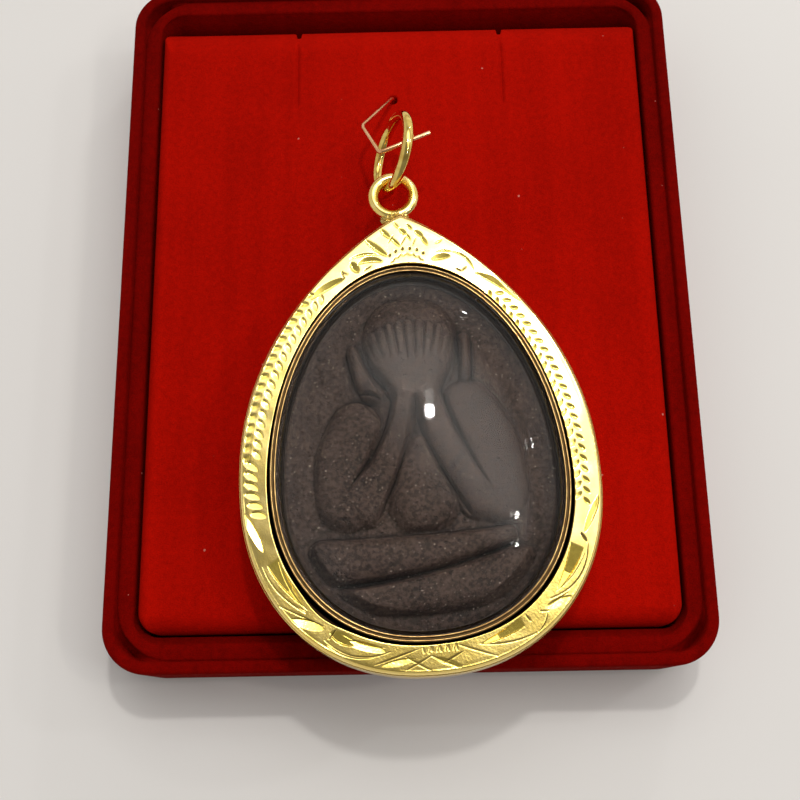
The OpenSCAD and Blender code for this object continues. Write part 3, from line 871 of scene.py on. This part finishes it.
def case_face(metal):
    """The engraved face, a closed ring: across it from the side over the rounded outer edge to the
    opening's edge and back underneath. Its height is the face's, less the cuts, with slow waves of a
    few hundredths of a millimetre left by hand polishing."""
    outer_edge_r, inner_edge_r = 0.16, 0.14
    crown_wide, crown_drop = 0.6, 0.04
    sunk = 0.03               # keeps the waves' crests under the CAD's face
    phi = even_angles(1400)
    outer, inner = egg(FACE_EGG, phi, TIP), egg(OPENING_EGG, phi)
    dent = DENT[2] * np.exp(-((np.degrees(phi) - DENT[0]) / DENT[1]) ** 2)
    inner = inner + inner / np.linalg.norm(inner, axis=1)[:, None] * dent[:, None]
    width = np.linalg.norm(inner - outer, axis=1)
    t = np.linspace(0, 1, 58)[:, None]
    flat = outer * (1 - t[..., None]) + inner * t[..., None]
    x, y = flat[..., 0], flat[..., 1]
    cuts, cut_shade, line_shade = engraving(x, y)
    from_outer, from_inner = t * width, (1 - t) * width
    fade = ramp(from_outer, 0.05, 0.3) * ramp(from_inner, 0.03, 0.18)
    waves = 0.05 * uneven(x, y, 2.6, 5) + 0.02 * uneven(x, y, 1.1, 6)
    crown = crown_drop * (1 - np.clip(from_outer / crown_wide, 0, 1)) ** 2
    z = FACE_Z - sunk + (waves - cuts - crown) * fade
    z = z - round_edge(from_outer, outer_edge_r) - round_edge(from_inner, inner_edge_r)
    heights = [BACK_Z + (FACE_Z - BACK_Z) * h for h in (0.915, 0.955, 0.972)]
    below = blend_rings(outer, inner, [-0.7 * BULGE, -0.35 * BULGE, -0.1 * BULGE], heights)
    under = blend_rings(outer, inner, [1.0, 0.5, -0.3 * BULGE], FACE_Z - 0.75)
    rings = np.concatenate([below, np.dstack([flat, z]), under])
    piece = make_skin("case_face", rings, metal, ["case"], closed=True)
    matt = 0.12 + 0.9 * ramp(-y, 4, 9)
    # The cut and line masks tell the material where to paint olive and dark shade
    for name, values in (("cut", cut_shade * fade), ("line", line_shade * fade), ("matt", matt)):
        store(piece, name, np.pad(values, ((len(below), len(under)), (0, 0))))


def blend_rings(outer, inner, shares, heights):
    """Rings at shares of the way from the outer outline to the inner, at one height or one each."""
    heights = np.broadcast_to(heights, len(shares))
    return [at_height(outer * (1 - s) + inner * s, z) for s, z in zip(shares, heights)]


def case_body(metal):
    """The rest of the case: rings from the middle of the closed back, round the bulging side, in under
    the face and down the cavity's wall to its floor."""
    phi = even_angles(480)
    outer, inner = egg(FACE_EGG, phi, TIP), egg(OPENING_EGG, phi)
    # The profile: shares of the way from the outer outline to the opening's, or of the bulge where it
    # is past the outline, and heights from the back to the face
    share = np.array([1.6, 0.85, 0.6, 0.25, 0.02, -0.75, -1.0, -0.95, -0.7])
    share[5:] *= BULGE
    height = np.array([0, 0, 0.01, 0.07, 0.18, 0.36, 0.57, 0.77, 0.92])
    frame_wide = 2.4
    steps = np.hypot(np.diff(share) * frame_wide, np.diff(height) * (FACE_Z - BACK_Z))
    run = np.concatenate([[0], np.cumsum(steps)])
    fine = np.linspace(0, run[-1], 44)
    share, height = smooth_line(fine, run, share), smooth_line(fine, run, height)
    height = np.clip(height, 0, 0.92)
    rings = blend_rings(outer, inner, share, BACK_Z + (FACE_Z - BACK_Z) * height)
    rings += blend_rings(outer, inner, [-0.5 * BULGE, 0.2, 0.95], FACE_Z - 0.62)
    rings += [at_height(inner, z) for z in (FACE_Z - 0.7, 6.0, 3.5, CAVITY_Z + 0.1)]
    rings += [at_height(inner * 0.985, CAVITY_Z), at_height(inner * 0.5, CAVITY_Z)]
    piece = make_skin("case_body", rings, metal)
    painted_shade = np.zeros(np.shape(rings)[:2])
    # From under the face inward the gold is painted dark as shade, and made rougher
    painted_shade[-8:] = 1             # from under the face inward, where it is dull
    store(piece, "painted_shade", np.concatenate([painted_shade.ravel(), [0, 1]]))


def smooth_line(at, run, values):
    """Values along a line of points, joined by cubics whose slope at each point is that of its
    neighbours."""
    slope = np.gradient(values, run)
    k = np.clip(np.searchsorted(run, at, side="right") - 1, 0, len(run) - 2)
    gap = run[k + 1] - run[k]
    t = (at - run[k]) / gap
    a = (1 + 2 * t) * (1 - t) ** 2 * values[k] + t * (1 - t) ** 2 * gap * slope[k]
    return a + t * t * (3 - 2 * t) * values[k + 1] + t * t * (t - 1) * gap * slope[k + 1]


def bezel():
    """The thin rim: an upright band whose top edge rolls in over the cover, closed on itself. Two thin
    beads run round its top, which wavers a little, with a groove between them. Its wall, the groove and
    the beads' sides are painted dark as shade, so that only the beads' crests stay bright."""
    phi = even_angles(720)
    foot, top, folded = 1.2, FACE_Z + BEZEL_RISE, BEZEL_WALL + FOLD
    bead, groove = 0.075, 0.13

    def bead_rows(middle, painted_dark):
        """A half-round bead on the top, painted dark as shade down its sides, so that only its crest stays
        bright.
        """
        arc = [(bead * math.cos(a), bead * math.sin(a)) for a in np.radians(np.linspace(0, 180, 7))]
        return [(middle - c, top - bead + s, max(painted_dark - (s / bead) ** 2, 0)) for c, s in arc]

    # Rows of distance in from the outer wall, height, and how dark the gold is painted there as shade
    rows = [(0.02, foot, 1), (0, foot + 0.1, 1), (0, 0.5 * FACE_Z, 1), (0, FACE_Z - 0.2, 1)]
    rows += [(0, top - groove - 0.01, 0.9), *bead_rows(0.03 + bead, 0.9)]
    rows += [(0.22, top - groove, 0.9), (folded - 0.20, top - groove, 0.9)]
    rows += [*bead_rows(folded - 0.02 - bead, 0.95), (folded, top - groove - 0.01, 0.9)]
    rows += [(folded, FACE_Z + 0.06, 1), (folded - 0.06, FACE_Z + 0.01, 1), (BEZEL_WALL + 0.02, FACE_Z, 1)]
    rows += [(BEZEL_WALL, FACE_Z - 0.2, 1), (BEZEL_WALL, foot + 0.1, 1)]
    waver = 0.02 * lumps(20 + 9 * np.cos(phi), 20 + 9 * np.sin(phi), 1.7, 8) - 0.02
    rings = [inside_bezel(inward, phi, z + waver * ramp(z, FACE_Z + 0.1, top)) for inward, z, _ in rows]
    # The rim's gold is painted darker than the case's, as shade on the thin rim
    metal = gold("bezel gold", (0.80, 0.54, 0.22), (0.56, 0.33, 0.12), 0.16)
    piece = make_skin("bezel_rim", rings, metal, ["bezel"], closed=True)
    store(piece, "painted_shade", np.repeat([painted_dark for _, _, painted_dark in rows], len(phi)))


def cover():
    """The clear domed cover, a closed shell: up inside the dome from its foot, over the outside and
    down to the flat rim. Each dome is the rim's outline drawn in to a middle by the cosine of an angle
    that goes up with its sine."""
    phi = even_angles(300)
    rim_z, foot_z, rim = FACE_Z - GAP, GROUND_Z + GAP, BEZEL_WALL + GAP
    inner = rim + COVER_WALL
    up = np.radians(np.concatenate([np.linspace(0, 60, 26), np.linspace(62, 89, 16)]))

    def dome(distance, base):
        """Rings from the foot of a dome up, that far in from the bezel's outer wall."""
        out = egg(inset(BEZEL_EGG, distance), phi) - MIDDLE
        return [at_height(MIDDLE + out * math.cos(a), base + DOME_H * math.sin(a)) for a in up]

    rings = dome(inner, rim_z - COVER_WALL)[::-1]
    foot = [(inner, 0.5 * (foot_z + rim_z)), (inner, foot_z + 0.08), (inner - 0.08, foot_z),
            (rim + 0.08, foot_z), (rim, foot_z + 0.08), (rim, rim_z - 0.05), (rim + 0.05, rim_z)]
    rings += [inside_bezel(inward, phi, z) for inward, z in foot]
    rings += dome(BEZEL_WALL + FOLD + 2 * GAP, rim_z + GAP)
    make_skin("cover_dome", rings, clear_acrylic(), ["cover"])


# The amulet

# Forms of the seated figure, which holds both hands before its face. Each is a low arch along a
# bowed line: [x, y at its start, x, y that it bends towards, x, y at its end, radius at the start,
# the middle and the end, rise above the ground at the start and the end]
HEAD = (-0.2, 14.3, -0.1, 14.6, 0.3, 14.3, 4.4, 4.45, 4.4, 1.9, 1.9)
FOREARMS = [
    (-0.9, 8.9, -1.6, 4.3, -5, -1.5, 1.35, 1.65, 2.05, 2.4, 1.8),
    (1.1, 8.9, 2.2, 4.2, 5.3, -1.3, 1.45, 1.8, 2.2, 2.35, 1.8)]
LIMBS = [
    (-5.6, 6.1, -7.3, 3, -6.7, -0.8, 2.5, 2.95, 3, 1.65, 1.6),
    (4.9, 7.4, 7.6, 4.2, 6.9, -0.7, 2.7, 2.8, 3, 1.7, 1.6),
    (0, 3.8, 0, 1, 0.2, -1, 1.2, 2.7, 3.5, 1.3, 1.6),
    (-8.9, -6.3, -0.5, -6.6, 7.6, -4.8, 2.2, 1.9, 0.9, 1.7, 1.5),
    (8.4, -8.1, 2.4, -9.6, -7.2, -10, 2.4, 2.1, 1.4, 1.55, 1.55),
    (-5.5, -12.1, 0, -13, 5.5, -12.2, 0.6, 0.9, 0.6, 0.6, 0.6),
    (-5.3, 13.4, -4.9, 11.2, -3.9, 9.4, 0.75, 0.95, 1.2, 1.1, 1.2),
    (5.1, 14, 5.2, 12, 4.9, 10, 0.6, 0.55, 0.6, 1.2, 1.1)]

# The two hands laid side by side: half their width at heights from the wrists to the finger tips
HAND_Y = [7.4, 8.7, 11.5, 14.2, 16.4]
HAND_HALF = [1.9, 2.4, 3.9, 4.45, 4.0]
HAND_RISE = 2.45
TIP_Y = 16.25                 # the middle finger tips, and how fast the others fall away beside them
TIP_FALL = 0.07
FINGER_FAN = (0.0, 2.0)       # point that the fingers fan out from, and the angle between them
FINGER_STEP = math.radians(4.1)
FINGER_DEEP = 0.42

# Grooves between the forms, along bowed lines too: [x, y, x, y, x, y, half width at the start, the
# middle and the end, depth at the start and the end]
GROOVES = [
    (-5.5, 16.2, -4.9, 12.2, -2.25, 9, 0.35, 0.55, 0.75, 0.9, 1.2),
    (-2.3, 9.1, -1.9, 5.6, -6.9, -0.2, 0.75, 0.6, 0.3, 1.2, 0.5),
    (4.35, 14.6, 4.1, 11.6, 2.75, 8.9, 0.3, 0.4, 0.45, 0.7, 0.8),
    (2.75, 9, 2.9, 6.2, 6.6, -1, 0.45, 0.35, 0.25, 0.8, 0.3),
    (-0.6, 5.4, -1.4, 2.2, -4.2, -3.3, 0.25, 0.32, 0.35, 0.3, 0.7),
    (0.6, 5, 1.8, 1.6, 4.6, -3.3, 0.25, 0.35, 0.35, 0.35, 0.6),
    (-10.6, -3.9, -1, -4.4, 9.4, -3.7, 0.35, 0.4, 0.35, 0.7, 0.7),
    (-8.8, -8.6, 0.6, -8.4, 8.6, -5.4, 0.45, 0.5, 0.3, 0.9, 0.6),
    (-8, -10.9, 0, -12.6, 8, -10.9, 0.45, 0.55, 0.45, 0.8, 0.7),
    (-6.4, 14.2, -5.9, 11.4, -5.9, 8.8, 0.22, 0.25, 0.25, 0.5, 0.6),
    (-6.1, 8.9, -4.4, 9.6, -2.7, 8.3, 0.25, 0.3, 0.3, 0.5, 0.7)]


def across_form(x, y, form):
    """Distance from a form's bowed line as a share of its radius there, with the form's rise there and
    the share of the way along. The line is cut into straight pieces, and each point keeps the least
    share of them all."""
    x0, y0, xb, yb, x1, y1, r0, rm, r1, rise0, rise1 = form
    t = np.linspace(0, 1, 13)
    line_x, line_y = bowed(t, x0, xb, x1), bowed(t, y0, yb, y1)
    radius = np.interp(t, [0, 0.5, 1], [r0, rm, r1])
    share, at = np.full_like(x, FAR), np.zeros_like(x)
    for k in range(len(t) - 1):
        px, py, ax, ay = line_x[k], line_y[k], line_x[k + 1] - line_x[k], line_y[k + 1] - line_y[k]
        u = np.clip(((x - px) * ax + (y - py) * ay) / (ax * ax + ay * ay), 0, 1)
        own = np.hypot(x - px - ax * u, y - py - ay * u) / (radius[k] * (1 - u) + radius[k + 1] * u)
        at = np.where(own < share, t[k] + u * t[1], at)
        share = np.minimum(share, own)
    return share, rise0 + (rise1 - rise0) * at, at


def form_height(x, y, form):
    """Height of one form: a low arch across its line, flat on top and steep at its foot."""
    share, rise, _ = across_form(x, y, form)
    return rise * np.clip(1 - share ** 3, 0, 1) ** 0.6


def hands_height(x, y):
    """Height of the hands: flat across, with round sides, and cut off along the arch of the finger
    tips. Grooves fan out between the fingers and die away down the backs of the hands."""
    half = np.interp(y, HAND_Y, HAND_HALF)
    wave = np.abs(np.sin(np.pi * (np.arctan2(x - FINGER_FAN[0], y - FINGER_FAN[1]) / FINGER_STEP + 0.5)))
    tip = TIP_Y - TIP_FALL * x * x + 0.25 * (wave - 0.7)
    flat = np.sqrt(np.clip(1 - np.abs(x / half) ** 4, 0, 1)) * np.sqrt(np.clip((tip - y) / 0.5, 0, 1))
    fingers = FINGER_DEEP * (1 - wave) ** 1.6 * ramp(y, 11.6, 13.6) * ramp(flat, 0.3, 0.8)
    return (HAND_RISE * flat - fingers) * ramp(y, 7.0, 8.8)


def merged(a, b, soft):
    """The higher of two heights, with a rounded crease where they are equal: half the sum of both and
    of the root of their squared difference plus soft squared, less half of soft. Away from the crease
    it lies half of soft under the higher one, and on bare ground it stays 0."""
    return 0.5 * (a + b + np.sqrt((a - b) ** 2 + soft ** 2)) - 0.5 * soft


def relief(x, y, edge):
    """Height of the figure over the ground: its forms merged, less the grooves between them, which
    taper to their ends. It dies away before the foot of the cover."""
    arms = np.maximum(form_height(x, y, FOREARMS[0]), form_height(x, y, FOREARMS[1]))
    height = np.maximum(merged(hands_height(x, y), arms, 0.4), form_height(x, y, HEAD))
    for limb in LIMBS:
        height = merged(height, form_height(x, y, limb), 0.12)
    navel = np.clip(1 - ((x - 0.3) / 2.6) ** 2 - ((y + 2.0) / 2.0) ** 2, 0, 1)
    height = height + 0.2 * np.sqrt(navel)
    for groove in GROOVES:
        share, depth, at = across_form(x, y, groove)
        taper = np.clip(np.sin(np.pi * np.clip(at, 0.02, 0.98)) * 3, 0, 1)
        height = height - depth * taper * np.clip(1 - share, 0, 1) ** 1.3 * ramp(height, 0, 1)
    return np.clip(height, 0, None) * np.clip((edge - COVER_WALL - 0.6) / 0.9, 0, 1)


def amulet():
    """The pressed medallion: rings from its middle out to its edge, over a slight dome and the relief,
    then down its wall and in under it."""
    phi = even_angles(640)
    back, rim = 1.2, 0.8      # height of its back, and width of the flat rim under the cover's foot
    plate = inset(BEZEL_EGG, BEZEL_WALL + GAP)
    outline = egg(plate, phi)
    s = np.linspace(1, 0.006, 150)[:, None]
    flat = MIDDLE + (outline - MIDDLE) * s[..., None]
    x, y = flat[..., 0], flat[..., 1]
    dx, dy = x / plate[0], (y - plate[3]) / np.where(y < plate[3], plate[1], plate[2])
    # Distance to the edge, a little less than it is along the ray from the middle
    edge = (1 - s) * np.linalg.norm(outline - MIDDLE, axis=1) * 0.92
    height = relief(x, y, edge)
    bare = 1 - ramp(height, 0.1, 0.9)
    rough = 0.09 * uneven(x, y, 0.9, 11) + 0.07 * uneven(x, y, 0.35, 12) + 0.05 * uneven(x, y, 2.6, 14)
    dents = 0.2 * ramp(lumps(x + 50, y + 30, 1.7, 13), 0.6, 0.9) * bare
    z = GROUND_Z + GROUND_DOME * (1 - dx * dx - dy * dy) + height
    z = z + (rough * (0.35 + bare) - dents) * ramp(edge, rim, 1.3)
    z = np.where(edge <= rim, np.minimum(z, GROUND_Z), z)
    wall = [at_height(outline * 0.5, back), at_height(outline, back), at_height(outline, 0.5 * GROUND_Z)]
    rings = np.concatenate([wall, np.dstack([flat, z])])
    piece = make_skin("amulet_relief", rings, pressed_powder(), ["amulet"])
    # Painted shade goes where the relief dips: a point lower than the mean of the heights a few points
    # away on four sides
    around = np.roll(height, -6, axis=1) + np.roll(height, 6, axis=1)
    outward = np.concatenate([height[4:], height[-4:]]) + np.concatenate([height[:4], height[:-4]])
    hollow_shade = np.clip((around + outward - 4 * height) * 0.6, 0, 1)
    for name, values in (("hollow_shade", hollow_shade), ("high", ramp(height, 1.2, 2.8))):
        values = np.pad(values, ((len(wall), 0), (0, 0)))
        store(piece, name, np.concatenate([values.ravel(), [0, 0]]))


# Studio

def studio_floor():
    """A pale floor under the tray."""
    size = 3000
    mesh = bpy.data.meshes.new("floor")
    corners = np.array([[-1, -1, 0], [1, -1, 0], [1, 1, 0], [-1, 1, 0]]) * size * MM
    mesh.from_pydata(corners.tolist(), [], [(0, 1, 2, 3)])
    mesh.materials.append(pale_floor())
    floor = placed("floor", mesh)


def lamp(name, place, size, power, colour=(1, 1, 1)):
    """A round soft light at a place in millimetres, turned to the middle of the pendant."""
    light = bpy.data.lights.new(name, "AREA")
    light.shape = "DISK"
    light.size = size * MM
    light.energy = power
    light.color = colour
    holder = placed(name, light)
    holder.location = Vector(place) * MM
    holder.rotation_euler = (Vector((0, -15, 12)) - Vector(place)).to_track_quat("-Z", "Y").to_euler()


def studio_lights():
    """A soft surround with a bright panel overhead, towards the back and right, and a fainter side on
    the left, and small lamps that the dome mirrors as spots."""
    lamp("over", (25, 85, 304), 16, 0.20, (1.0, 0.98, 0.94))
    lamp("right", (219, 73, 217), 12, 0.05)
    lamp("back", (118, 222, 178), 10, 0.05)
    lamp("low right", (167, -28, 276), 14, 0.06, (1.0, 0.95, 0.86))
    lamp("front", (174, -81, 265), 12, 0.04)
    world = bpy.data.worlds.new("surround")
    world.use_nodes = True
    graph = Graph(world.node_tree)
    back = next(n for n in world.node_tree.nodes if n.type == "BACKGROUND")
    direction = graph.node("TexCoord", out="Generated")
    lean = graph.node("VectorMath", [direction, (*BRIGHT_SIDE, 0)], out="Value", operation="DOT_PRODUCT")
    up = graph.node("SeparateXYZ", [direction], out="Z")
    right = graph.node("SeparateXYZ", [direction], out="X")
    panel = lean.between(0.04, 0.34) * up.between(0.66, 0.88)
    rim = lean.between(0.3, 0.7) * (1 - up.between(0.5, 0.75))
    side = (right * -1).between(0.25, 0.6)
    strength = 0.22 + panel * 2.5 + side * 0.4 + rim * 0.6
    graph.plug((1.0, 0.98, 0.95, 1), back.inputs["Color"])
    graph.plug(strength, back.inputs["Strength"])
    bpy.context.scene.world = world
    bpy.context.scene.view_settings.view_transform = "Standard"


def camera():
    """The photograph's own viewpoint: above the pad and a little to its front, tilted a little."""
    eye, aim = Vector((0.05, -41.05, 115.5)), Vector((-0.572, -11.047, 10.0))
    roll = math.radians(-2.25)
    lens = bpy.data.cameras.new("camera")
    lens.lens = 49.5
    lens.sensor_width = 36
    lens.clip_start = 5 * MM
    lens.clip_end = 20
    holder = placed("camera", lens)
    turn = (aim - eye).to_track_quat("-Z", "Y") @ Quaternion((0, 0, 1), roll)
    holder.location = eye * MM
    holder.rotation_euler = turn.to_euler()
    bpy.context.scene.camera = holder


camera()
studio_floor()
studio_lights()
tray()
pad()
hook()
jump_ring()
case_face(engraved_gold("engraved gold"))
plain_gold = gold("case gold", (1.0, 0.80, 0.33), (0.94, 0.66, 0.16), 0.15)
case_body(plain_gold)
loop(plain_gold)
bezel()
cover()
amulet()
